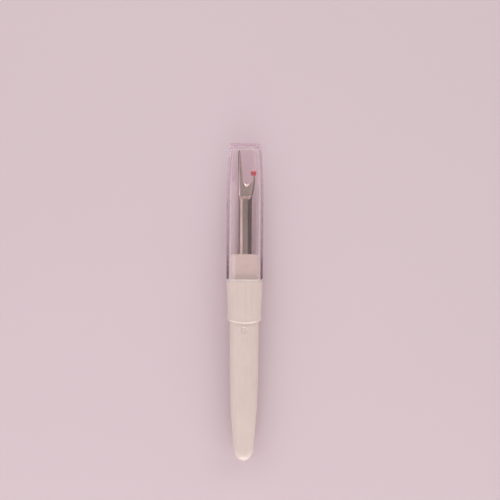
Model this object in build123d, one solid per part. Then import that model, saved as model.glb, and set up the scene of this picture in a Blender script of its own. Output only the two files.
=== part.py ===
from build123d import *
import os
from math import acos, atan2, cos, degrees, radians, sin

# Seam ripper: a moulded handle, a forked steel blade, a safety ball on the short tine and a clear cap.
#
# Every size is in millimetres. The functions work along the tool: X across, Y from the butt towards the
# point, Z towards the front, with the butt at Y = 0 and the middle of the thickness at Z = 0. place()
# then puts the origin under the middle of the capped tool, with the flats of the collar and cap on Z = 0.

# ---- Driving dimensions ---------------------------------------------------------------------------

OVERALL_LENGTH = 121.2      # butt to the closed end of the cap
BODY_DEPTH = 9.8            # front to back over the collar and the straight part of the cap

# Grip: width and depth at even steps from the end of the dome up into the collar
GRIP_START = 5.0
GRIP_STEP = 6.0
GRIP_STATIONS = [
    (7.72, 6.0), (8.8, 6.62), (9.72, 7.1), (10.38, 7.42), (10.7, 7.6),
    (10.88, 7.7), (11.0, 7.76), (11.07, 7.79), (11.11, 7.8), (11.12, 7.8),
]
GRIP_CORNER = 0.4           # corner radius as a share of the depth
DOME_ANGLES = [9, 24, 40, 56, 72, 90]   # round the elliptical end, where its sections stand

# Collar: half widths at distances from the butt, from the flared lip up to the shoulder
COLLAR_SIDE = [(6.47, 53.8), (6.38, 55.8), (6.48, 60.0), (6.67, 64.5), (6.9, 68.55)]
COLLAR_LOW_POINT = 52.5     # the lower edge is an arc that dips towards the butt in the middle
COLLAR_CORNER = 3.6
COLLAR_LIP_ROUND = 0.5
SHOULDER = 68.55
SHOULDER_ROUND = 0.3

# Neck: the stub that the cap slides over
NECK_WIDTH = 10.9
NECK_DEPTH = 6.9
NECK_CORNER = 2.15
NECK_TOP = 78.9
NECK_CROWN = 0.35           # how far the top falls from the middle to the sides
NECK_ROUND = 0.35

# Round witness marks that the mould leaves on the front
MARK_RADIUS = 1.05
MARK_DEPTH = 0.08
GRIP_MARK_AT = 49.9
NECK_MARK_AT = 74.6

# Blade: flattened wire, pressed thinner into the fork, with a notched tang inside the handle
SHANK_X = 0.1               # the shank stands this far to the short tine's side of the middle
SHANK_WIDTH = 5.1
SHANK_THICKNESS = 3.8
FORK_THICKNESS = 1.2
TIP_THICKNESS = 0.5
FORK_START = 100.0          # where the front of the shank starts to run down into the fork
RUN_OUT_RADIUS = 1.6
TINE_THINS_FROM = 108.0
POINT = 118.5               # tip of the long tine

# Outline of the fork, as points that smooth curves run through
FORK_LEFT = [
    (-2.3, 98.4), (-2.47, 99.7), (-2.68, 101.2), (-2.78, 103.4), (-2.8, 110.0), (-2.79, 116.4),
    (-2.65, 117.8), (-2.4, POINT),
]
FORK_INSIDE = [
    (-2.15, POINT), (-1.87, 117.8), (-1.69, 116.4), (-1.42, 113.2), (-1.14, 110.2), (-0.76, 107.5),
    (-0.3, 106.2), (0.45, 105.6), (1.2, 105.8), (1.9, 106.4), (2.4, 107.3), (2.72, 108.7), (2.95, 110.3),
]
FORK_RIGHT = [
    (2.5, 98.4), (2.67, 99.7), (2.86, 101.2), (3.25, 102.9), (3.62, 105.1), (3.8, 107.3), (3.66, 108.9),
    (3.5, 110.3),
]

# Ground cutting edge in the crotch of the fork
CROTCH_X = 0.45
CROTCH_AT = 105.55
BEVEL_START = 104.5         # where the bevel leaves the flat of the fork
STONE_RADIUS = 1.1

# Tang
TANG_END = 46.0
SPADE_TOP = 60.0
SPADE_WIDTH = 6.4
SPADE_THICKNESS = 2.2
NOTCH_RADIUS = 0.8
NOTCHES_AT = [50.0, 55.0]

# Safety ball: longer than wide, and leaning outwards with the short tine
BALL_X = 3.25
BALL_AT = 109.8
BALL_RADIUS = 1.17
BALL_HALF_LENGTH = 1.45
BALL_LEAN = 6.0             # degrees
BALL_FOOT_RADIUS = 0.82     # the flat foot where it ends on the tine

# Cap: straight from the rim to CAP_TAPER_FROM, then narrowing; (distance, width, depth) of the outside
CAP_RIM = 68.6
CAP_WIDTH = 14.0
CAP_CORNER = 3.6
CAP_TAPER_FROM = 98.0
CAP_STATIONS = [
    (103.0, 13.94, 9.76), (108.0, 13.72, 9.6), (113.0, 13.28, 9.3), (117.5, 12.6, 8.85),
    (OVERALL_LENGTH, 11.9, 8.4),
]
CAP_WALL = 1.45
CAP_TOP_ROUND = 0.8
CAP_CLEARANCE = 0.05        # on each side of the neck


# ---- Helpers --------------------------------------------------------------------------------------

def across(at):
    """The plane square to the tool at a distance from the butt."""
    return Plane(origin=(0, at, 0), x_dir=(1, 0, 0), z_dir=(0, 1, 0))


def rounded_section(at, width, depth, corner):
    return across(at) * RectangleRounded(width, depth, corner)


def straight_bar(start, end, width, depth, corner):
    """A bar of rounded rectangular section along the tool."""
    return extrude(rounded_section(start, width, depth, corner), amount=end - start)


def upright_cylinder(x, at, radius, height):
    return Pos(x, at, 0) * Cylinder(radius, height)


def place(part):
    """From the working position to the part's frame."""
    return Pos(0, -OVERALL_LENGTH / 2, BODY_DEPTH / 2) * part


# ---- Handle ---------------------------------------------------------------------------------------

def grip_section(at, width, depth):
    return rounded_section(at, width, depth, GRIP_CORNER * depth)


def grip():
    """The tapering part held in the hand, from its domed butt up into the collar."""
    width, depth = GRIP_STATIONS[0]
    dome = [grip_section(0, width * sin(radians(DOME_ANGLES[0])), depth * sin(radians(DOME_ANGLES[0])))]
    for angle in DOME_ANGLES[1:]:
        at = GRIP_START * (1 - cos(radians(angle)))
        dome.append(grip_section(at, width * sin(radians(angle)), depth * sin(radians(angle))))
    barrel = [grip_section(GRIP_START + GRIP_STEP * i, *size) for i, size in enumerate(GRIP_STATIONS)]
    return loft(dome) + loft(barrel)


def collar():
    """The flat-faced collar: waisted sides, a rounded shoulder above and a dipping lip below."""
    right = Spline(*COLLAR_SIDE)
    left = Spline(*[(-x, at) for x, at in COLLAR_SIDE])
    top = Line(left @ 1, right @ 1)
    bottom = ThreePointArc(left @ 0, (0, COLLAR_LOW_POINT), right @ 0)
    body = extrude(make_face([right, top, left, bottom]), amount=BODY_DEPTH / 2, both=True)
    body = fillet(body.edges().filter_by(GeomType.BSPLINE), COLLAR_CORNER)
    lip = body.faces().sort_by(Axis.Y)[0].edges()
    body = fillet(lip, COLLAR_LIP_ROUND)
    shoulder = body.faces().sort_by(Axis.Y)[-1].edges()
    return fillet(shoulder, SHOULDER_ROUND)


def neck():
    """The stub under the cap, with a slightly crowned top."""
    stub = straight_bar(SHOULDER - 1, NECK_TOP + 1, NECK_WIDTH, NECK_DEPTH, NECK_CORNER)
    crown_radius = ((NECK_WIDTH / 2) ** 2 + NECK_CROWN ** 2) / (2 * NECK_CROWN)
    stub = stub & upright_cylinder(0, NECK_TOP - crown_radius, crown_radius, BODY_DEPTH)
    return fillet(stub.faces().sort_by(Axis.Y)[-1].edges(), NECK_ROUND)


def mould_marks():
    """Shallow discs to cut from the front of the grip and the neck."""
    grip_front = GRIP_STATIONS[-2][1] / 2
    grip_mark = Pos(0, GRIP_MARK_AT, grip_front - MARK_DEPTH + 0.5) * Cylinder(MARK_RADIUS, 1)
    neck_mark = Pos(0, NECK_MARK_AT, NECK_DEPTH / 2 - MARK_DEPTH + 0.5) * Cylinder(MARK_RADIUS, 1)
    return grip_mark + neck_mark


def handle(blade_part):
    """The one-piece moulding, formed round the blade's tang."""
    return grip() + collar() + neck() - mould_marks() - blade_part


# ---- Blade ----------------------------------------------------------------------------------------

def shank():
    """Flattened wire from the top of the spade to the fork, pressed thinner by a rounded run-out."""
    wire = Pos(SHANK_X, 0, 0) * straight_bar(
        SPADE_TOP - 1, FORK_START + RUN_OUT_RADIUS, SHANK_WIDTH, SHANK_THICKNESS, SHANK_THICKNESS / 2 - 0.01
    )
    rise = (SHANK_THICKNESS - FORK_THICKNESS) / 2
    run = (RUN_OUT_RADIUS ** 2 - (RUN_OUT_RADIUS - rise) ** 2) ** 0.5
    for side in (1, -1):
        centre = (0, FORK_START + run, side * (FORK_THICKNESS / 2 + RUN_OUT_RADIUS))
        press = Pos(*centre) * Rot(0, 90, 0) * Cylinder(RUN_OUT_RADIUS, 4 * SHANK_WIDTH)
        flat = Pos(centre[0], centre[1] + RUN_OUT_RADIUS, centre[2]) * Box(
            4 * SHANK_WIDTH, 2 * RUN_OUT_RADIUS, 2 * RUN_OUT_RADIUS
        )
        wire = wire - press - flat
    return wire


def fork():
    """The pressed plate with its long pointed tine and short ball tine, thinning towards the tips."""
    left = Spline(*FORK_LEFT)
    inside = Spline(*FORK_INSIDE)
    right = Spline(*FORK_RIGHT)
    point, ball_end, foot = Line(left @ 1, inside @ 0), Line(inside @ 1, right @ 1), Line(right @ 0, left @ 0)
    outline = make_face([left, point, inside, ball_end, right, foot])
    plate = extrude(outline, amount=FORK_THICKNESS / 2, both=True)
    thick, thin = FORK_THICKNESS / 2, TIP_THICKNESS / 2
    profile = Polyline(
        (FORK_LEFT[0][1], -thick), (TINE_THINS_FROM, -thick), (POINT, -thin),
        (POINT, thin), (TINE_THINS_FROM, thick), (FORK_LEFT[0][1], thick), close=True,
    )
    side_view = Plane.YZ * make_face(profile)
    return plate & extrude(side_view, amount=4 * SHANK_WIDTH, both=True)


def grinding_stones():
    """Two sloping rods, front and back, that grind the crotch of the fork to an edge."""
    reach = CROTCH_AT - BEVEL_START
    slope = degrees(atan2(reach, FORK_THICKNESS / 2))
    stones = []
    for side in (1, -1):
        lean = Rot(side * slope, 0, 0)
        stone = Pos(0, STONE_RADIUS, 0) * Cylinder(STONE_RADIUS, 8)
        stones.append(Pos(CROTCH_X, CROTCH_AT, 0) * lean * stone)
    return stones


def tang():
    """The notched spade that locks the blade in the handle."""
    spade = Pos(SHANK_X, 0, 0) * straight_bar(TANG_END, SPADE_TOP, SPADE_WIDTH, SPADE_THICKNESS, 0.4)
    for at in NOTCHES_AT:
        for side in (1, -1):
            spade = spade - upright_cylinder(SHANK_X + side * SPADE_WIDTH / 2, at, NOTCH_RADIUS, BODY_DEPTH)
    return spade


def blade():
    body = shank() + fork() + tang()
    for stone in grinding_stones():
        body = body - stone
    return body


# ---- Safety ball ----------------------------------------------------------------------------------

def safety_ball(blade_part):
    """A bead with a small flat foot, moulded over the end of the short tine."""
    foot_angle = -degrees(acos(BALL_FOOT_RADIUS / BALL_RADIUS))
    side = EllipticalCenterArc((0, 0), BALL_RADIUS, BALL_HALF_LENGTH, foot_angle, arc_size=90 - foot_angle)
    foot, crown = side @ 0, side @ 1
    middle = Line(crown, (0, foot.Y))
    bead = revolve(make_face([side, middle, Line((0, foot.Y), foot)]), Axis.Y)
    return Pos(BALL_X, BALL_AT, 0) * Rot(0, 0, -BALL_LEAN) * bead - blade_part


# ---- Cap ------------------------------------------------------------------------------------------

def cap_form(end, side_wall, front_wall, corner):
    """The outside of the cap, or with walls taken off, the space inside it."""
    width, depth = CAP_WIDTH - 2 * side_wall, BODY_DEPTH - 2 * front_wall
    sections = [rounded_section(CAP_TAPER_FROM, width, depth, corner)]
    for at, outer_width, outer_depth in CAP_STATIONS:
        width_here, depth_here = outer_width - 2 * side_wall, outer_depth - 2 * front_wall
        corner_here = corner * outer_width / CAP_WIDTH
        sections.append(rounded_section(min(at, end), width_here, depth_here, corner_here))
    return straight_bar(CAP_RIM, CAP_TAPER_FROM, width, depth, corner) + loft(sections)


def cap():
    """The clear push-on cap: open at the rim, closed and slightly rounded at the far end."""
    outside = cap_form(OVERALL_LENGTH, 0, 0, CAP_CORNER)
    outside = fillet(outside.faces().sort_by(Axis.Y)[-1].edges(), CAP_TOP_ROUND)
    side_wall = (CAP_WIDTH - NECK_WIDTH) / 2 - CAP_CLEARANCE
    front_wall = (BODY_DEPTH - NECK_DEPTH) / 2 - CAP_CLEARANCE
    inside = cap_form(OVERALL_LENGTH - CAP_WALL, side_wall, front_wall, NECK_CORNER + CAP_CLEARANCE)
    return outside - inside


# ---- Parts ----------------------------------------------------------------------------------------

def main():
    blade_part = blade()
    parts = {
        "handle": handle(blade_part),
        "blade": blade_part,
        "safety_ball": safety_ball(blade_part),
        "cap": cap(),
    }
    os.makedirs("parts", exist_ok=True)
    for name, part in parts.items():
        export_step(place(part), f"parts/{name}.step")


main()
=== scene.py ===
import math

import bpy
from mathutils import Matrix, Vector


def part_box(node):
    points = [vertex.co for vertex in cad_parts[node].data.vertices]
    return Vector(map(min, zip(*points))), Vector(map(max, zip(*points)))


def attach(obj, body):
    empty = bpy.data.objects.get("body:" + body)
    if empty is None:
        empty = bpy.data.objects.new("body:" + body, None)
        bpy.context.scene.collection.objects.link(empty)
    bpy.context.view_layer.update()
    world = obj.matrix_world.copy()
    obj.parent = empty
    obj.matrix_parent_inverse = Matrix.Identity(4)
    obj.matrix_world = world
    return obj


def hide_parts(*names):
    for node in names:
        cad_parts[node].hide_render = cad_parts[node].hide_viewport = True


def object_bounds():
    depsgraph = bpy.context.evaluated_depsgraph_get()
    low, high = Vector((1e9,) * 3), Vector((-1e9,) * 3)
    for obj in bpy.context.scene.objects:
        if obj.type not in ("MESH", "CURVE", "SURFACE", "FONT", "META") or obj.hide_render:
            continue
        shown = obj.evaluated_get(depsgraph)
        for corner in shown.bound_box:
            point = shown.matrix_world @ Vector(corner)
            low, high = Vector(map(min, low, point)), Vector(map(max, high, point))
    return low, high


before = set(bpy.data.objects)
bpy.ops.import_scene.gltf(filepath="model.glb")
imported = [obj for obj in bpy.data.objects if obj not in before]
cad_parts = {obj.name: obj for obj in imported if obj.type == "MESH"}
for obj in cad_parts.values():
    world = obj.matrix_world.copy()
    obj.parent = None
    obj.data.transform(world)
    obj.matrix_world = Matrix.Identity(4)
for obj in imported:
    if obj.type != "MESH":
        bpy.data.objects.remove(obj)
cad_low, cad_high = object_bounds()

# Seam ripper lying on its back: origin under its middle, +Y towards the point, +Z out of its front.
# The shapes below are worked out in millimetres: X across, "at" along the tool from its butt, and Z from
# the middle of its thickness. point() turns them into the frame's metres.

MM = 0.001
BUTT = cad_low.y
MIDDLE = (cad_low.z + cad_high.z) / 2
LENGTH = (cad_high.y - cad_low.y) / MM
BODY_DEPTH = (cad_high.z - cad_low.z) / MM
CAP_WIDTH = (cad_high.x - cad_low.x) / MM
COLLAR_WIDTH = (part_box("handle")[1].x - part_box("handle")[0].x) / MM
NECK_TOP = (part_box("handle")[1].y - BUTT) / MM
CAP_RIM = (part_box("cap")[0].y - BUTT) / MM
BALL_LOW, BALL_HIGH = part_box("safety_ball")


def point(x, at, z):
    return Vector((x * MM, BUTT + at * MM, MIDDLE + z * MM))


# ---- Camera and lights ----------------------------------------------------------------------------

VIEW_WIDTH = 0.1911          # how much of the floor the camera takes in
LENS = 110.0
SENSOR = 36.0
ROLL = math.radians(0.385)   # the tool leans this little to the right in the view
AIM = (0.00213, 0.0198)      # the middle of the view, right of and above the middle of the tool


def make_camera():
    data = bpy.data.cameras.new("camera")
    data.lens = LENS
    data.sensor_width = SENSOR
    camera = bpy.data.objects.new("camera", data)
    right = Vector((math.cos(ROLL), math.sin(ROLL), 0))
    up = Vector((-math.sin(ROLL), math.cos(ROLL), 0))
    height = VIEW_WIDTH * LENS / SENSOR
    camera.location = right * AIM[0] + up * AIM[1] + Vector((0, 0, MIDDLE + height))
    camera.rotation_euler = (0, 0, ROLL)
    data.clip_start = height / 20
    data.clip_end = height * 20
    bpy.context.scene.collection.objects.link(camera)
    bpy.context.scene.camera = camera


SPREAD = 120.0               # degrees; narrow enough to keep the floor by the lights from glaring


def make_light(name, place, size, power, colour=(1, 1, 1)):
    """A soft box at place, facing the tool. size is its width and height."""
    data = bpy.data.lights.new(name, "AREA")
    data.shape = "RECTANGLE"
    data.size, data.size_y = size
    data.energy = power
    data.color = colour
    data.spread = math.radians(SPREAD)
    light = bpy.data.objects.new(name, data)
    light.location = place
    light.rotation_euler = (-Vector(place)).to_track_quat("-Z", "Y").to_euler()
    bpy.context.scene.collection.objects.link(light)


def make_lights():
    make_light("overhead_light", (0.0, 0.0, 1.05), (0.60, 0.90), 0.12)
    make_light("left_light", (-0.44, 0.0, 0.46), (0.20, 0.80), 0.29, (1.0, 0.975, 0.98))
    make_light("left_back_light", (-0.81, 0.73, 0.50), (1.04, 0.78), 1.46, (1.0, 0.985, 0.99))
    make_light("left_front_light", (-0.81, -0.73, 0.50), (1.04, 0.78), 1.18, (1.0, 0.985, 0.99))
    make_light("right_back_light", (0.81, 0.75, 0.50), (1.04, 0.78), 2.09, (1.0, 0.99, 0.985))
    make_light("right_front_light", (0.81, -0.75, 0.50), (1.04, 0.78), 1.9, (1.0, 0.985, 0.985))
    make_light("back_light", (0.0, 0.60, 0.40), (0.80, 0.22), 0.6)
    make_light("front_light", (0.0, -0.62, 0.24), (0.50, 0.30), 1.35)
    world = bpy.data.worlds.new("studio")
    world.use_nodes = True
    background = world.node_tree.nodes["Background"]
    background.inputs["Color"].default_value = (1.0, 0.965, 0.975, 1)
    background.inputs["Strength"].default_value = 0.24
    bpy.context.scene.world = world
    bpy.context.scene.view_settings.view_transform = "Standard"


# ---- Material helpers -----------------------------------------------------------------------------

class Paint:
    """A material being made: short calls that add and join its nodes."""

    def __init__(self, name):
        self.material = bpy.data.materials.new(name)
        self.material.use_nodes = True
        self.tree = self.material.node_tree
        self.shader = self.tree.nodes["Principled BSDF"]
        self.place = self.add("ShaderNodeTexCoord").outputs["Object"]

    def add(self, kind, **settings):
        node = self.tree.nodes.new(kind)
        for name, value in settings.items():
            setattr(node, name, value)
        return node

    def join(self, source, socket):
        self.tree.links.new(source, socket)

    def set(self, **values):
        """Sets the shader's own sockets; a name's underscores are spaces."""
        for name, value in values.items():
            self.shader.inputs[name.replace("_", " ")].default_value = value

    def stretched(self, scale):
        """The place in the piece, with each axis scaled."""
        node = self.add("ShaderNodeVectorMath", operation="MULTIPLY")
        self.join(self.place, node.inputs[0])
        node.inputs[1].default_value = scale
        return node.outputs[0]

    def noise(self, scale, detail=3.0, rough=0.5, vector=None, distortion=0.0):
        node = self.add("ShaderNodeTexNoise")
        node.inputs["Scale"].default_value = scale
        node.inputs["Detail"].default_value = detail
        node.inputs["Roughness"].default_value = rough
        node.inputs["Distortion"].default_value = distortion
        self.join(vector or self.place, node.inputs["Vector"])
        return node.outputs["Fac"]

    def spread(self, value, low, high, to_low=0.0, to_high=1.0, smooth=False):
        node = self.add("ShaderNodeMapRange")
        if smooth:
            node.interpolation_type = "SMOOTHSTEP"
        self.join(value, node.inputs["Value"])
        for name, number in zip(("From Min", "From Max", "To Min", "To Max"), (low, high, to_low, to_high)):
            node.inputs[name].default_value = number
        return node.outputs[0]

    def maths(self, operation, a, b=None):
        node = self.add("ShaderNodeMath", operation=operation)
        for socket, value in zip(node.inputs, (a, b)):
            if value is None:
                continue
            if isinstance(value, (int, float)):
                socket.default_value = value
            else:
                self.join(value, socket)
        return node.outputs[0]

    def mixed(self, share, a, b):
        """A colour between a and b; each is a colour or a socket."""
        node = self.add("ShaderNodeMix", data_type="RGBA")
        self.join(share, node.inputs["Factor"])
        for socket, value in ((node.inputs[6], a), (node.inputs[7], b)):
            if isinstance(value, tuple):
                socket.default_value = (*value, 1)
            else:
                self.join(value, socket)
        return node.outputs[2]

    def axis(self, name):
        node = self.add("ShaderNodeSeparateXYZ")
        self.join(self.place, node.inputs[0])
        return node.outputs[name]

    def bump(self, height, distance, strength=1.0, under=None):
        node = self.add("ShaderNodeBump")
        node.inputs["Strength"].default_value = strength
        node.inputs["Distance"].default_value = distance
        self.join(height, node.inputs["Height"])
        if under is not None:
            self.join(under, node.inputs["Normal"])
        return node.outputs[0]

    def finish(self, colour=None, roughness=None, normal=None):
        for name, source in (("Base Color", colour), ("Roughness", roughness), ("Normal", normal)):
            if source is not None:
                self.join(source, self.shader.inputs[name])
        return self.material


def handle_plastic():
    """Cream moulded plastic: faintly cloudy, with a fine moulded grain and long flow streaks."""
    p = Paint("handle_plastic")
    cloud = p.noise(90, detail=4, rough=0.6)
    colour = p.mixed(p.spread(cloud, 0.3, 0.7), (0.725, 0.595, 0.55), (0.685, 0.555, 0.51))
    grain = p.noise(3200, detail=2)
    flow = p.noise(1, detail=3, vector=p.stretched((900, 60, 900)))
    colour = p.mixed(p.spread(flow, 0.52, 0.72, 0, 0.38), colour, (0.62, 0.50, 0.46))
    rough = p.maths("ADD", p.spread(grain, 0.3, 0.7, 0.34, 0.42), p.spread(flow, 0.3, 0.7, -0.03, 0.05))
    normal = p.bump(grain, 0.000012)
    normal = p.bump(flow, 0.00002, under=normal)
    p.set(Subsurface_Weight=0.25, Subsurface_Scale=0.0011, Subsurface_Radius=(1.0, 0.75, 0.6), IOR=1.5)
    return p.finish(colour, rough, normal)


FORK_GRAIN = (99.8, 102.5)   # the drawn lines give way to the pressed grain over this stretch
BEVEL_SHINE = (1.1, 1.3)     # the ground bevel's shine fades out this far from its middle


def blade_steel():
    """Plated steel: drawn lines along the shank, a pressed matt grain on the fork, a bright ground bevel,
    and painted shade and highlight along the edges.
    """
    p = Paint("blade_steel")
    drawn = p.noise(1, detail=4, rough=0.6, vector=p.stretched((5200, 90, 5200)))
    pressed = p.noise(4200, detail=4, rough=0.7)
    on_fork = p.spread(p.axis("Y"), *(BUTT + at * MM for at in FORK_GRAIN), smooth=True)
    pattern = p.add("ShaderNodeMix")
    p.join(on_fork, pattern.inputs["Factor"])
    p.join(drawn, pattern.inputs[2])
    p.join(pressed, pattern.inputs[3])
    texture = pattern.outputs[0]
    streak = p.noise(1, detail=5, rough=0.7, vector=p.stretched((2400, 45, 2400)))
    speckle = p.spread(p.noise(1500, detail=5, rough=0.75), 0.45, 0.78, 0.36, 0.62)
    blotch = p.add("ShaderNodeMix")
    p.join(on_fork, blotch.inputs["Factor"])
    p.join(streak, blotch.inputs[2])
    p.join(speckle, blotch.inputs[3])
    colour = p.mixed(p.spread(blotch.outputs[0], 0.36, 0.62), (0.69, 0.55, 0.53), (0.395, 0.30, 0.277))
    # Painted shade darkens the steel along its outer edges and the shank's right side; a painted highlight
    # lightens a line just inside them.
    painted_light = p.add("ShaderNodeAttribute", attribute_name="painted_light").outputs["Fac"]
    colour = p.mixed(p.spread(painted_light, 0, 1, 0, 0.7), colour, (0.10, 0.075, 0.07))
    colour = p.mixed(p.spread(painted_light, 0, -1, 0, 0.8), colour, (0.82, 0.72, 0.70))
    rough = p.spread(texture, 0.25, 0.75, 0.24, 0.38)
    bevel = p.add("ShaderNodeVectorMath", operation="DISTANCE")
    p.join(p.place, bevel.inputs[0])
    bevel.inputs[1].default_value = point(BEVEL_X, CROTCH_AT, 0)
    away = p.spread(bevel.outputs["Value"], *(reach * MM for reach in BEVEL_SHINE), smooth=True)
    rough = p.maths("MULTIPLY", rough, p.spread(away, 0, 1, 0.6, 1))
    normal = p.bump(texture, 0.000008)
    p.set(Metallic=1.0)
    return p.finish(colour, rough, normal)


BALL_HIGHLIGHT_TOP = 0.0004       # the painted highlight is palest from this far below the ball's top


def ball_plastic():
    """Glossy red plastic, with a highlight painted in, paler towards the top."""
    p = Paint("ball_plastic")
    cloud = p.noise(900, detail=3)
    colour = p.mixed(p.spread(cloud, 0.3, 0.7), (0.52, 0.012, 0.05), (0.42, 0.008, 0.038))
    middle = (BALL_LOW.y + BALL_HIGH.y) / 2
    # Painted highlight: the colour turns pale pink towards the ball's top.
    painted_highlight = p.spread(p.axis("Y"), middle, BALL_HIGH.y - BALL_HIGHLIGHT_TOP, 0, 0.95, smooth=True)
    colour = p.mixed(painted_highlight, colour, (0.88, 0.40, 0.40))
    rough = p.spread(p.noise(2600, detail=2), 0.3, 0.7, 0.26, 0.36)
    p.set(IOR=1.55, Coat_Weight=1.0, Coat_Roughness=0.2, Coat_IOR=1.7)
    return p.finish(colour, rough, p.bump(cloud, 0.00002))


WORN_HEIGHT = 0.0022         # the cap's underside is rubbed matt up to here
RIM_MATT = (0.5, 0.8)        # the matt band round its rim fades out between these distances


def cap_plastic():
    """Clear plastic with a faint mauve body tint, fine handling scratches and a slight moulded ripple."""
    p = Paint("cap_plastic")
    ripple = p.noise(160, detail=2)
    scratch = p.noise(1, detail=2, vector=p.stretched((7000, 260, 7000)), distortion=0.6)
    worn = p.spread(p.axis("Z"), WORN_HEIGHT / 2, WORN_HEIGHT, 0.6, 0, smooth=True)
    rough = p.maths("MAXIMUM", p.spread(scratch, 0.45, 0.75, 0.02, 0.09), worn)
    normal = p.bump(ripple, 0.00003)
    fade = (BUTT + (CAP_RIM + away) * MM for away in RIM_MATT)
    rim = p.spread(p.axis("Y"), *fade, 1, 0, smooth=True)
    rough = p.maths("MAXIMUM", rough, p.maths("MULTIPLY", rim, 0.5))
    p.join(p.spread(rim, 0, 1, 1, 0.7), p.shader.inputs["Transmission Weight"])
    p.set(Base_Color=(0.985, 0.965, 0.95, 1), IOR=1.47)
    tint = p.add("ShaderNodeVolumeAbsorption")
    tint.inputs["Color"].default_value = (0.75, 0.46, 0.66, 1)
    tint.inputs["Density"].default_value = 50
    # Light on its way to or from a matt surface goes straight through, so the cap casts no dark shadow.
    lamps_pass = p.add("ShaderNodeBsdfTransparent")
    lamps_pass.inputs["Color"].default_value = (0.995, 0.99, 0.99, 1)
    choice = p.add("ShaderNodeMixShader")
    path = p.add("ShaderNodeLightPath").outputs
    straight = p.maths("MAXIMUM", path["Is Shadow Ray"], path["Is Diffuse Ray"])
    p.join(straight, choice.inputs["Fac"])
    p.join(p.shader.outputs["BSDF"], choice.inputs[1])
    p.join(lamps_pass.outputs["BSDF"], choice.inputs[2])
    output = p.tree.nodes["Material Output"]
    p.join(choice.outputs["Shader"], output.inputs["Surface"])
    p.join(tint.outputs["Volume"], output.inputs["Volume"])
    return p.finish(None, rough, normal)


def floor_paper():
    """Plain pale paper with a fine tooth."""
    p = Paint("floor_paper")
    tooth = p.noise(1400, detail=4)
    colour = p.mixed(p.spread(p.noise(3, detail=2), 0.3, 0.7), (0.68, 0.555, 0.59), (0.66, 0.535, 0.57))
    p.set(Roughness=0.8)
    return p.finish(colour, None, p.bump(tooth, 0.00002, 0.4))


# ---- Mesh helpers ---------------------------------------------------------------------------------

CORNER_POWER = 2.3           # a corner slightly squarer than an arc, so that its curvature starts gently
SIDE_STEPS, CORNER_STEPS, FLAT_STEPS = 8, 14, 20


def quarter(width, depth, corner):
    """Points from the middle of the right side round one corner to just before the middle of the front."""
    side, flat = depth / 2 - corner, width / 2 - corner
    points = [(width / 2, side * i / SIDE_STEPS) for i in range(SIDE_STEPS)]
    for i in range(CORNER_STEPS):
        angle = math.pi / 2 * i / CORNER_STEPS
        reach = math.cos(angle) ** (2 / CORNER_POWER), math.sin(angle) ** (2 / CORNER_POWER)
        points.append((flat + corner * reach[0], side + corner * reach[1]))
    points += [(flat * (1 - i / FLAT_STEPS), depth / 2) for i in range(FLAT_STEPS)]
    return points


def section(width, depth, corner):
    """The whole rounded section, as points that run anticlockwise from the middle of the right side."""
    first = quarter(width, depth, corner)
    second = [(-x, z) for x, z in [(0, depth / 2)] + first[:0:-1]]
    half = first + second
    return half + [(-x, -z) for x, z in half]


def smooth_piece(name, verts, faces):
    """A smooth-shaded piece in the scene."""
    mesh = bpy.data.meshes.new(name)
    mesh.from_pydata(verts, [], faces)
    mesh.update()
    mesh.shade_smooth()
    piece = bpy.data.objects.new(name, mesh)
    bpy.context.scene.collection.objects.link(piece)
    return piece


def skin(name, rows):
    """A mesh through rows of equally many points, as a tube with its ends filled by a fan."""
    count = len(rows[0])
    verts = [p for row in rows for p in row]
    faces = []
    for r in range(len(rows) - 1):
        for i in range(count):
            j = (i + 1) % count
            faces.append((r * count + i, r * count + j, (r + 1) * count + j, (r + 1) * count + i))
    for end, row in ((0, rows[0]), (1, rows[-1])):
        base = 0 if end == 0 else (len(rows) - 1) * count
        middle = len(verts)
        verts.append(sum(row, Vector()) / count)
        for i in range(count):
            j = (i + 1) % count
            faces.append((middle, base + j, base + i) if end == 0 else (middle, base + i, base + j))
    return smooth_piece(name, [tuple(v) for v in verts], faces)


def smooth_step(value):
    value = min(max(value, 0.0), 1.0)
    return value * value * (3 - 2 * value)


def eased(at, start, length, low, high):
    """Goes smoothly from low to high over a length that begins at start."""
    return low + (high - low) * smooth_step((at - start) / length)


def quarter_turn(count):
    """The sines and cosines of count angles, evenly from zero to a right angle."""
    angles = [math.pi / 2 * i / (count - 1) for i in range(count)]
    return [(math.sin(angle), math.cos(angle)) for angle in angles]


def curve_through(stations, at):
    """A smooth value at a place between stations (place, value, ...), which are in order."""
    if at <= stations[0][0]:
        return stations[0][1:]
    if at >= stations[-1][0]:
        return stations[-1][1:]
    k = max(i for i in range(len(stations) - 1) if stations[i][0] <= at)
    p0, p1, p2, p3 = (stations[min(max(k + d, 0), len(stations) - 1)] for d in (-1, 0, 1, 2))
    t = (at - p1[0]) / (p2[0] - p1[0])
    span = p2[0] - p1[0]
    result = []
    for c in range(1, len(p1)):
        m1 = (p2[c] - p0[c]) / (p2[0] - p0[0]) * span
        m2 = (p3[c] - p1[c]) / (p3[0] - p1[0]) * span
        a = 2 * p1[c] - 2 * p2[c] + m1 + m2
        b = -3 * p1[c] + 3 * p2[c] - 2 * m1 - m2
        result.append(((a * t + b) * t + m1) * t + p1[c])
    return tuple(result)


def steps(start, end, size):
    """Even places from start up to, but not at, end, about size apart."""
    count = max(1, round((end - start) / size))
    return [start + (end - start) * i / count for i in range(count)]


# ---- Handle ---------------------------------------------------------------------------------------

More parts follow.
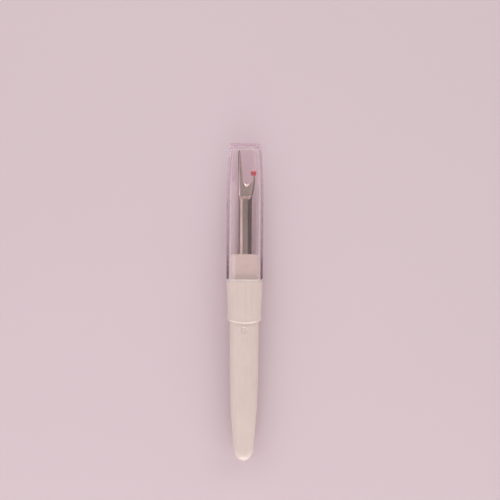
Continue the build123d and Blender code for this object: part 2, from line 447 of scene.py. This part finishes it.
DOME_LENGTH = 5.0
DOME_POWER = 2.8             # the butt is a semicircle from the front, and squarer than that from the side
DOME_STEP = 5                # degrees between its rows
GRIP = [
    (5.0, 7.72, 6.0), (11.0, 8.8, 6.62), (17.0, 9.72, 7.1), (23.0, 10.38, 7.42), (29.0, 10.7, 7.6),
    (35.0, 10.88, 7.7), (41.0, 11.0, 7.76), (47.0, 11.07, 7.79), (53.0, 11.11, 7.8), (59.0, 11.12, 7.8),
]
GRIP_CORNER = 0.47           # of the depth
BUTT_CORNER = 0.48           # of the width, where that gives less
LIP = 52.5                   # the collar's lower edge in the middle of the front
LIP_ARC = 18.6               # radius of that edge, seen from the front
LIP_ROUND = 0.6
BEND_START, BEND_LENGTH = 44.0, 8.0  # where the grip's rows bend to the arc of the lip
STRAIGHTEN_LENGTH = 9.0      # the collar's rows straighten again over this much
CREASE = 0.2
COLLAR = [(53.0, 12.95), (54.0, 12.9), (55.8, 12.76), (60.0, 12.96), (64.5, 13.34), (68.25, COLLAR_WIDTH)]
COLLAR_CORNER = 4.1
COLLAR_WAIST = 0.08          # how far the collar's faces lie below its lip
WAIST_OFF_LIP, WAIST_OFF_SHOULDER = 0.7, 0.5    # how far from each it starts and ends
WAIST_RUN_IN, WAIST_RUN_OUT = 0.7, 2.0
CLOSE_ABOVE_LIP = 1.6        # the rows stand closer together this far above the lip
SHOULDER = 68.55
SHOULDER_ROUND = 0.25
NECK_WIDTH, NECK_DEPTH, NECK_CORNER = 10.9, 6.9, 2.5
NECK_ROUND = 0.35
NECK_CROWN = 0.35            # how far the top falls from its middle to its sides
CROWN_START, CROWN_LENGTH = 75.9, 2.2
MARKS = (49.9, 74.6)
MARK_RADIUS, MARK_DEPTH, MARK_EDGE = 1.05, 0.2, 0.2
MARK_MARGIN, MARK_STEP = 1.4, 0.12   # and also this far on each side of a mark's middle
SHANK_X, SHANK_WIDTH, SHANK_THICKNESS = 0.1, 5.1, 3.8
SPADE_TOP, SPADE_END, SPADE_WIDTH, SPADE_THICKNESS = 60.0, 46.0, 6.4, 2.2
SPADE_CORNER = 0.4
SOCKET_FLARE, SOCKET_FLARE_DEPTH = 0.2, 0.15
MOUTH_FLAT, SHANK_FLAT = 0.05, 0.01  # half the height of the flat that their round sides keep


def mark_depth(x, along):
    """How deep a round mould mark is, at a place across and along from its middle."""
    away = math.hypot(x, along)
    return MARK_DEPTH * smooth_step((MARK_RADIUS + MARK_EDGE - away) / MARK_EDGE)


def handle_row(at, width, depth, corner, dip=0.0, fall=0.0, shift=0.0):
    """One row of the handle. dip is how far it follows the arc of the lip, and fall the neck's crown."""
    row = []
    for x, z in section(width, depth, corner):
        arc = LIP_ARC - math.sqrt(LIP_ARC ** 2 - x * x)
        crown = NECK_CROWN * (2 * x / NECK_WIDTH) ** 2
        place = at + dip * arc - fall * crown
        if z > 0:
            z -= sum(mark_depth(x, place - mark) for mark in MARKS)
        row.append(point(x + shift, place, z))
    return row


def around_mark(mark):
    """Where the rows over a mould mark stand."""
    return steps(mark - MARK_MARGIN, mark + MARK_MARGIN, MARK_STEP)


def butt_rows():
    rows = []
    width, depth = GRIP[0][1:]
    for degrees in range(DOME_STEP, 90, DOME_STEP):
        angle = math.radians(degrees)
        at = DOME_LENGTH * (1 - math.cos(angle)) if degrees > DOME_STEP else 0
        share = math.sin(angle)
        squarer = (1 - math.cos(angle) ** DOME_POWER) ** (1 / DOME_POWER)
        row_depth = depth * max(share, squarer)
        corner = min(GRIP_CORNER * row_depth, BUTT_CORNER * width * share)
        rows.append(handle_row(at, width * share, row_depth, corner))
    return rows


def grip_rows():
    rows = []
    places = steps(DOME_LENGTH, BEND_START, 0.8) + steps(BEND_START, MARKS[0] - MARK_MARGIN, 0.4)
    places += around_mark(MARKS[0]) + steps(MARKS[0] + MARK_MARGIN, LIP - CREASE, 0.2)
    for at in places:
        width, depth = curve_through(GRIP, at)
        dip = smooth_step((at - BEND_START) / BEND_LENGTH)
        rows.append(handle_row(at, width, depth, GRIP_CORNER * depth, dip=dip))
    width, depth = curve_through(GRIP, LIP)
    for sine, cosine in quarter_turn(5):     # the crease where the grip meets the underside of the lip
        out = CREASE * (1 - cosine)
        at = LIP - CREASE + CREASE * sine
        rows.append(handle_row(at, width + 2 * out, depth + 2 * out, GRIP_CORNER * depth + out, dip=1))
    return rows


def collar_rows():
    rows = []
    lip_width = COLLAR[0][1]
    for sine, cosine in quarter_turn(7):     # the rounded lip
        back = LIP_ROUND * (1 - sine)
        at = LIP + LIP_ROUND * (1 - cosine)
        rows.append(handle_row(at, lip_width - 2 * back, BODY_DEPTH - 2 * back, COLLAR_CORNER - back, dip=1))
    close_end = LIP + CLOSE_ABOVE_LIP
    places = steps(LIP + LIP_ROUND + 0.1, close_end, 0.1)
    for at in places + steps(close_end, SHOULDER - SHOULDER_ROUND, 0.4):
        width = curve_through(COLLAR, at)[0]
        dip = 1 - smooth_step((at - COLLAR[0][0]) / STRAIGHTEN_LENGTH)
        run_in = smooth_step((at - LIP - WAIST_OFF_LIP) / WAIST_RUN_IN)
        run_out = smooth_step((SHOULDER - WAIST_OFF_SHOULDER - at) / WAIST_RUN_OUT)
        waist = COLLAR_WAIST * run_in * run_out
        rows.append(handle_row(at, width, BODY_DEPTH - 2 * waist, COLLAR_CORNER, dip=dip))
    for sine, cosine in quarter_turn(6):     # the shoulder
        back = SHOULDER_ROUND * (1 - cosine)
        at = SHOULDER - SHOULDER_ROUND * (1 - sine)
        rows.append(handle_row(at, COLLAR_WIDTH - 2 * back, BODY_DEPTH - 2 * back, COLLAR_CORNER - back))
    return rows


def neck_rows():
    rows = []
    for sine, cosine in quarter_turn(5):     # the crease round the neck
        out = CREASE * (1 - sine)
        at = SHOULDER + CREASE * (1 - cosine)
        rows.append(handle_row(at, NECK_WIDTH + 2 * out, NECK_DEPTH + 2 * out, NECK_CORNER + out))
    top = NECK_TOP - NECK_ROUND
    places = steps(SHOULDER + 2 * CREASE, MARKS[1] - MARK_MARGIN, 0.5) + around_mark(MARKS[1])
    for at in places + steps(MARKS[1] + MARK_MARGIN, top, 0.4):
        fall = smooth_step((at - CROWN_START) / CROWN_LENGTH)
        rows.append(handle_row(at, NECK_WIDTH, NECK_DEPTH, NECK_CORNER, fall=fall))
    for sine, cosine in quarter_turn(7):     # the rounded top edge
        back = NECK_ROUND * (1 - cosine)
        at = top + NECK_ROUND * sine
        rows.append(handle_row(at, NECK_WIDTH - 2 * back, NECK_DEPTH - 2 * back, NECK_CORNER - back, fall=1))
    return rows


def socket_rows():
    """The hole for the blade, from its mouth in the neck down to the end of the tang."""
    mouth_width, mouth_thickness = SHANK_WIDTH + 2 * SOCKET_FLARE, SHANK_THICKNESS + 2 * SOCKET_FLARE
    mouth = (mouth_width, mouth_thickness, mouth_thickness / 2 - MOUTH_FLAT)
    shank = (SHANK_WIDTH, SHANK_THICKNESS, SHANK_THICKNESS / 2 - SHANK_FLAT)
    spade = (SPADE_WIDTH, SPADE_THICKNESS, SPADE_CORNER)
    return [
        handle_row(NECK_TOP, *mouth, fall=1, shift=SHANK_X),
        handle_row(NECK_TOP - SOCKET_FLARE_DEPTH, *shank, shift=SHANK_X),
        handle_row(SPADE_TOP, *shank, shift=SHANK_X),
        handle_row(SPADE_TOP, *spade, shift=SHANK_X),
        handle_row(SPADE_END, *spade, shift=SHANK_X),
    ]


def make_handle():
    rows = butt_rows() + grip_rows() + collar_rows() + neck_rows() + socket_rows()
    piece = skin("handle_moulding", rows)
    piece.data.materials.append(handle_plastic())
    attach(piece, "handle")
    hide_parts("handle")


# ---- Blade ----------------------------------------------------------------------------------------

WIRE_ROUND = SHANK_THICKNESS / 2
PLATE, TIP_PLATE = 0.6, 0.25     # half the thickness of the fork, and of the long tine's end
PLATE_EDGE_HEIGHT = 0.64
FOOT_EDGE_REACH, PLATE_EDGE_REACH = 1.2, 0.75    # how far in the rounding of the fork's edges reaches
THINS_FROM, TIP = 108.0, 118.5
RUN_OUT_START, RUN_OUT_END = 100.0, 103.0    # where the round shank runs out into the flat fork
RAMP_SLOPE, RAMP_BLEND = 1.6, 0.3
EDGES_PRESSED = (RUN_OUT_START + 0.3, 1.1)   # each of these three is a start and a length
EDGES_FLATTEN = (98.5, 3.0)
EDGES_NARROW = (102.0, 5.0)
SPADE_STEP = 0.3
STEP_CLEAR, SHANK_CLEAR = 0.4, 0.6   # how far the press stays clear of the round shank
EDGE_BLEND, BEVEL_BLEND = 0.1, 0.03
TINE_END_ROUND = 0.35
THINNEST = 0.004
EDGES_START = 96.0           # below this the sides are the straight shank's
LEFT_EDGE = [
    (EDGES_START, -2.45), (98.4, -2.45), (99.7, -2.5), (101.2, -2.68), (103.4, -2.78), (110.0, -2.8),
    (116.4, -2.79), (117.8, -2.65), (TIP, -2.4),
]
BALL_TINE_END = 110.3
RIGHT_EDGE = [
    (EDGES_START, 2.65), (98.4, 2.65), (99.7, 2.7), (101.2, 2.86), (102.9, 3.25), (105.1, 3.62),
    (107.3, 3.8), (108.9, 3.66), (BALL_TINE_END, 3.5),
]
CROTCH_X, CROTCH_AT = 0.45, 105.6
MIDDLE_DRIFT = (98.0, 6.0)   # the start and length over which the rows' middle goes over to the crotch
INSIDE_EDGE = [              # from the long tine's tip round the crotch to the ball
    (-2.15, TIP), (-1.87, 117.8), (-1.69, 116.4), (-1.42, 113.2), (-1.14, 110.2), (-0.76, 107.5),
    (-0.3, 106.2), (CROTCH_X, CROTCH_AT), (1.2, 105.8), (1.9, 106.4), (2.4, 107.3), (2.72, 108.7),
    (2.95, BALL_TINE_END),
]
INSIDE_STEPS = 120
BEVEL_START = 104.5
BEVEL_X, BEVEL_WIDTH, BEVEL_HALF_LENGTH = 0.6, 1.0, 1.6
INNER_ROUND_START = BEVEL_START - 1.5
HALF_STEPS = 16
LONG_TINE_ROWS, BALL_TINE_ROWS = 90, 44
TINE_CROWDING = 1.25         # above 1, a tine's rows stand closer together near the crotch

# Where shade and highlight are painted on the steel, measured in from its left or right edge: painted shade
# on the outer edges, widest on the shank's right side, and a painted highlight just inside them.
FORK_PAINTED_LIGHT_START, FORK_PAINTED_LIGHT_LENGTH = 99.0, 2.0
PAINTED_SHADE_LEFT, PAINTED_SHADE_LEFT_FADE = 0.12, 0.3
PAINTED_SHADE_RIGHT_SHANK, PAINTED_SHADE_RIGHT_FORK, PAINTED_SHADE_RIGHT_FADE = 1.3, 0.2, 0.4
PAINTED_HIGHLIGHT_LEFT, PAINTED_HIGHLIGHT_LEFT_REACH = 0.66, 0.3
PAINTED_HIGHLIGHT_RIGHT, PAINTED_HIGHLIGHT_RIGHT_REACH = 1.05, 0.45


def soft_min(a, b, blend):
    near = max(blend - abs(a - b), 0) / blend
    return min(a, b) - near * near * blend / 4


def inside_edge():
    """The fork's inner edge as a close row of places, and how far along it the crotch is."""
    along, stations = 0.0, []
    for i, (x, at) in enumerate(INSIDE_EDGE):
        along += math.dist(INSIDE_EDGE[i - 1], (x, at)) if i else 0
        stations.append((along, x, at))
    crotch = stations[INSIDE_EDGE.index((CROTCH_X, CROTCH_AT))][0]
    return stations, crotch


INSIDE, CROTCH_ALONG = inside_edge()
INSIDE_LENGTH = INSIDE[-1][0]
INSIDE_PLACES = [curve_through(INSIDE, INSIDE_LENGTH * i / INSIDE_STEPS) for i in range(INSIDE_STEPS + 1)]


def to_segment(x, at, a, b):
    dx, dy = b[0] - a[0], b[1] - a[1]
    share = ((x - a[0]) * dx + (at - a[1]) * dy) / (dx * dx + dy * dy)
    share = min(max(share, 0), 1)
    return math.hypot(x - a[0] - share * dx, at - a[1] - share * dy)


def edge_height(away, at):
    """Half the thickness that the rounded edge allows, away from the outline."""
    height = eased(at, *EDGES_PRESSED, WIRE_ROUND, PLATE_EDGE_HEIGHT)
    reach_on_fork = eased(at, *EDGES_NARROW, FOOT_EDGE_REACH, PLATE_EDGE_REACH)
    reach = eased(at, *EDGES_FLATTEN, WIRE_ROUND, reach_on_fork)
    return height * math.sqrt(max(1 - (1 - min(max(away, 0) / reach, 1)) ** 2, 0))


def plate_height(at):
    """Half the thickness that the press leaves: the spade, the round shank, the run-out and the fork."""
    if at < SPADE_TOP + SPADE_STEP:
        return eased(at, SPADE_TOP, SPADE_STEP, SPADE_THICKNESS / 2, WIRE_ROUND + STEP_CLEAR)
    plate = PLATE - (PLATE - TIP_PLATE) * max(at - THINS_FROM, 0) / (TIP - THINS_FROM)
    ramp = min(WIRE_ROUND + RAMP_SLOPE * (RUN_OUT_START - at), WIRE_ROUND + SHANK_CLEAR)
    return -soft_min(-plate, -ramp, RAMP_BLEND)


def bevel_height(x, away):
    """Half the thickness that the ground crescent leaves, away from the crotch's edge."""
    return away * PLATE / BEVEL_WIDTH + PLATE * ((x - BEVEL_X) / BEVEL_HALF_LENGTH) ** 2


def spade_overhang(at):
    """How far the flattened tang stands out past each side of the shank."""
    return eased(at, SPADE_TOP - SPADE_STEP, 2 * SPADE_STEP, (SPADE_WIDTH - SHANK_WIDTH) / 2, 0)


def left_edge(at):
    if at < EDGES_START:
        return SHANK_X - SHANK_WIDTH / 2 - spade_overhang(at)
    return curve_through(LEFT_EDGE, at)[0]


def right_edge(at):
    if at < EDGES_START:
        return SHANK_X + SHANK_WIDTH / 2 + spade_overhang(at)
    return curve_through(RIGHT_EDGE, at)[0]


def blade_height(x, at, tine=0):
    """Half the thickness of the blade at a place; tine is -1 on the long one, 1 on the ball's, else 0."""
    height = plate_height(at)
    if tine <= 0:
        height = soft_min(height, edge_height(x - left_edge(at), at), EDGE_BLEND)
    if tine >= 0:
        height = soft_min(height, edge_height(right_edge(at) - x, at), EDGE_BLEND)
    if at > INNER_ROUND_START:
        away = min(to_segment(x, at, a, b) for a, b in zip(INSIDE_PLACES, INSIDE_PLACES[1:]))
        height = soft_min(height, edge_height(away, at), EDGE_BLEND)
        height = soft_min(height, bevel_height(x, away), BEVEL_BLEND)
    end = BALL_TINE_END if tine > 0 else TIP
    left = min((end - at) / TINE_END_ROUND, 1)
    return max(height, THINNEST) * math.sqrt(max(1 - (1 - left) ** 2, 0))


def painted_edge_light(x, at):
    """1 where shade is painted on the outer edges, -1 on the highlight painted just inside them, 0
    elsewhere.
    """
    left, right = x - left_edge(at), right_edge(at) - x
    fork = smooth_step((at - FORK_PAINTED_LIGHT_START) / FORK_PAINTED_LIGHT_LENGTH)
    painted_shade_right = PAINTED_SHADE_RIGHT_SHANK - (PAINTED_SHADE_RIGHT_SHANK - PAINTED_SHADE_RIGHT_FORK) * fork
    painted_shade = 1 - min(
        smooth_step((left - PAINTED_SHADE_LEFT) / PAINTED_SHADE_LEFT_FADE),
        smooth_step((right - painted_shade_right) / PAINTED_SHADE_RIGHT_FADE),
    )
    if at >= BALL_TINE_END and x >= 0:
        return painted_shade
    highlight_left = 1 - abs(left - PAINTED_HIGHLIGHT_LEFT) / PAINTED_HIGHLIGHT_LEFT_REACH
    highlight_right = 1 - abs(right - PAINTED_HIGHLIGHT_RIGHT) / PAINTED_HIGHLIGHT_RIGHT_REACH
    return painted_shade - fork * max(highlight_left, highlight_right, 0)


class Sheets:
    """A thin piece as a front sheet and a back sheet that share their outline."""

    def __init__(self):
        self.verts, self.faces = [], []

    def add(self, place):
        self.verts.append(tuple(place))
        return len(self.verts) - 1

    def row(self, places, shared):
        """places are (x, at, half thickness); the ones whose numbers are in shared lie on the outline."""
        front, back = [], []
        for i, (x, at, height) in enumerate(places):
            front.append(self.add(point(x, at, 0 if i in shared else height)))
        for i, (x, at, height) in enumerate(places):
            back.append(front[i] if i in shared else self.add(point(x, at, -height)))
        return front, back

    def bridge(self, low, high):
        for i in range(len(low[0]) - 1):
            self.face(low[0][i], low[0][i + 1], high[0][i + 1], high[0][i])
            self.face(low[1][i], high[1][i], high[1][i + 1], low[1][i + 1])

    def face(self, *corners):
        kept = [c for i, c in enumerate(corners) if c != corners[i - 1]]
        if len(kept) > 2:
            self.faces.append(kept)

    def close_end(self, row):
        for i in range(len(row[0]) - 1):
            self.face(row[1][i], row[1][i + 1], row[0][i + 1], row[0][i])


def spaced(a, b):
    """Places from a to b, closer together at both ends."""
    shares = [(1 - math.cos(math.pi * i / HALF_STEPS)) / 2 for i in range(HALF_STEPS + 1)]
    return [tuple(p + (q - p) * share for p, q in zip(a, b)) for share in shares]


def blade_places():
    """Where the rows from the tang to the crotch stand, closer together where the section changes."""
    places = steps(SPADE_END, SPADE_TOP - 0.2, 1.5) + steps(SPADE_TOP - 0.2, SPADE_TOP + 0.6, 0.1)
    places += steps(SPADE_TOP + 0.6, EDGES_START, 1.0) + steps(EDGES_START, RUN_OUT_START, 0.2)
    places += steps(RUN_OUT_START, RUN_OUT_END, 0.08) + steps(RUN_OUT_END, BEVEL_START - 0.2, 0.15)
    places += steps(BEVEL_START - 0.2, CROTCH_AT, 0.045)
    return places + [CROTCH_AT]


def add_shank(sheets):
    """Adds the tang, the shank and the foot of the fork, and gives back the row through the crotch."""
    last = None
    for at in blade_places():
        middle = eased(at, *MIDDLE_DRIFT, SHANK_X, CROTCH_X)
        line = spaced((left_edge(at), at), (middle, at)) + spaced((middle, at), (right_edge(at), at))[1:]
        shared = {0, len(line) - 1} | ({HALF_STEPS} if at == CROTCH_AT else set())
        row = sheets.row([(x, y, blade_height(x, y)) for x, y in line], shared)
        if last is None:
            sheets.close_end(row)
        else:
            sheets.bridge(last, row)
        last = row
    return last


def add_tine(sheets, low, tine, end, rows):
    """Adds one tine on its half of the crotch's row; tine is -1 for the long one and 1 for the ball's."""
    inside_end = 0 if tine < 0 else INSIDE_LENGTH
    for j in range(1, rows + 1):
        share = (j / rows) ** TINE_CROWDING
        inner = curve_through(INSIDE, CROTCH_ALONG + (inside_end - CROTCH_ALONG) * share)
        at = CROTCH_AT + (end - CROTCH_AT) * share
        outer = (left_edge(at) if tine < 0 else right_edge(at), at)
        line = spaced(outer, inner) if tine < 0 else spaced(inner, outer)
        shared = set(range(len(line))) if j == rows else {0, len(line) - 1}
        row = sheets.row([(x, y, blade_height(x, y, tine)) for x, y in line], shared)
        sheets.bridge(low, row)
        low = row


def make_blade():
    sheets = Sheets()
    front, back = add_shank(sheets)
    split = HALF_STEPS
    add_tine(sheets, (front[:split + 1], back[:split + 1]), -1, TIP, LONG_TINE_ROWS)
    add_tine(sheets, (front[split:], back[split:]), 1, BALL_TINE_END, BALL_TINE_ROWS)
    piece = smooth_piece("blade_forging", sheets.verts, sheets.faces)
    # Painted shade and highlight for the steel's colour, stored on each point.
    painted_lights = piece.data.attributes.new("painted_light", "FLOAT", "POINT")
    for i, vert in enumerate(piece.data.vertices):
        painted_lights.data[i].value = painted_edge_light(vert.co.x / MM, (vert.co.y - BUTT) / MM)
    piece.data.materials.append(blade_steel())
    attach(piece, "handle")
    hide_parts("blade")


# ---- Cap ------------------------------------------------------------------------------------------

CAP_OUTSIDE = [
    (CAP_RIM, CAP_WIDTH, BODY_DEPTH), (90.0, CAP_WIDTH, BODY_DEPTH), (98.0, CAP_WIDTH, BODY_DEPTH),
    (103.0, 13.94, 9.76), (108.0, 13.72, 9.6), (113.0, 13.28, 9.3), (117.5, 12.6, 8.85), (LENGTH, 11.9, 8.4),
]
CAP_CORNER = 4.1
SIDE_WALL, FRONT_WALL, END_WALL = 1.5, 1.4, 1.45
RIM_ROUND = 0.22
CAP_TOP_ROUND = 0.8
CAP_INNER_ROUND = 1.3
CAP_STEP, RIM_CLEAR = 0.8, 0.3   # the straight rows start this clear of the rounded rim
END_RINGS = (1.6, 2.6, 3.4)  # how far in from its sides the rings on the flat end lie


def cap_row(at, inset_x=0.0, inset_z=0.0, back=0.0):
    """One row of the cap, drawn in from its outside by the walls and by back."""
    width, depth = curve_through(CAP_OUTSIDE, at)
    corner = CAP_CORNER * width / CAP_WIDTH - inset_z
    sizes = (width - 2 * (inset_x + back), depth - 2 * (inset_z + back), corner - back)
    return [point(x, at, z) for x, z in section(*sizes)]


def cap_side(end, end_round, walls, rim_way):
    """The rows of one side of the shell, from its rim to its end. rim_way is 1 outside and -1 inside."""
    rows = []
    for sine, cosine in quarter_turn(5):     # the rounded rim
        at = CAP_RIM + RIM_ROUND * (1 - cosine)
        rows.append(cap_row(at, *walls, back=rim_way * RIM_ROUND * (1 - sine)))
    straight = steps(CAP_RIM + RIM_ROUND + RIM_CLEAR, end - end_round, CAP_STEP)
    rows += [cap_row(at, *walls) for at in straight]
    for sine, cosine in quarter_turn(9):     # the rounded end
        at = end - end_round * (1 - sine)
        rows.append(cap_row(at, *walls, back=end_round * (1 - cosine)))
    return rows


def make_cap():
    outside = cap_side(LENGTH, CAP_TOP_ROUND, (0, 0), 1)
    outside += [cap_row(LENGTH, back=back) for back in END_RINGS]
    inside = cap_side(LENGTH - END_WALL, CAP_INNER_ROUND, (SIDE_WALL, FRONT_WALL), -1)
    piece = skin("cap_shell", outside[::-1] + inside)
    piece.data.materials.append(cap_plastic())
    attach(piece, "cap")
    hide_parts("cap")


# ---- Floor ----------------------------------------------------------------------------------------

FLOOR_HALF = 4.0


def make_floor():
    mesh = bpy.data.meshes.new("floor")
    corners = [(x * FLOOR_HALF, y * FLOOR_HALF, 0) for x, y in ((-1, -1), (1, -1), (1, 1), (-1, 1))]
    mesh.from_pydata(corners, [], [(0, 1, 2, 3)])
    floor = bpy.data.objects.new("floor", mesh)
    mesh.materials.append(floor_paper())
    bpy.context.scene.collection.objects.link(floor)


# ---- Build ----------------------------------------------------------------------------------------

def dress(node, material):
    """Gives a CAD node a finished material and leaves its shape as it is."""
    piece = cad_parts[node]
    piece.data.materials.clear()
    piece.data.materials.append(material)


make_camera()
make_floor()
make_lights()
make_handle()
make_blade()
dress("safety_ball", ball_plastic())
make_cap()
